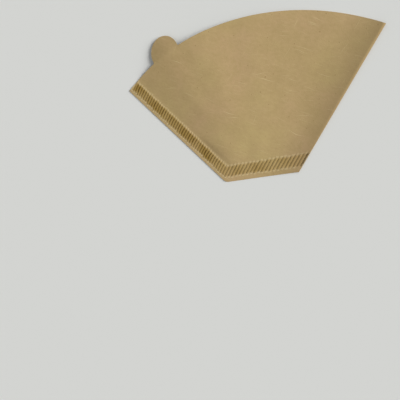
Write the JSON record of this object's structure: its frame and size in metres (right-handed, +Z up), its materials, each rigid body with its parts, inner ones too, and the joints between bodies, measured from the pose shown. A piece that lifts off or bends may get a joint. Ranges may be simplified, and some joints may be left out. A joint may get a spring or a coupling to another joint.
{
  "type": "paper coffee filter",
  "caption": "Flat-folded, fan-shaped cone coffee filter in unbleached paper, crimped along a side and the bottom, open at the curved mouth, with a round finger tab.",
  "frame": {"origin": "middle of the underside of the bounding box, on the flat lower leaf", "axes": "+X from the crimped side to the folded side, +Y from the bottom seam to the open mouth, +Z up from the lower leaf to the upper leaf that carries the tab"},
  "size_m": [0.1664, 0.1034, 0.0036],
  "materials": {
    "filter_paper": "matt"
  },
  "bodies": {
    "root": {"filter_paper": "filter_paper"}
  },
  "joints": []
}
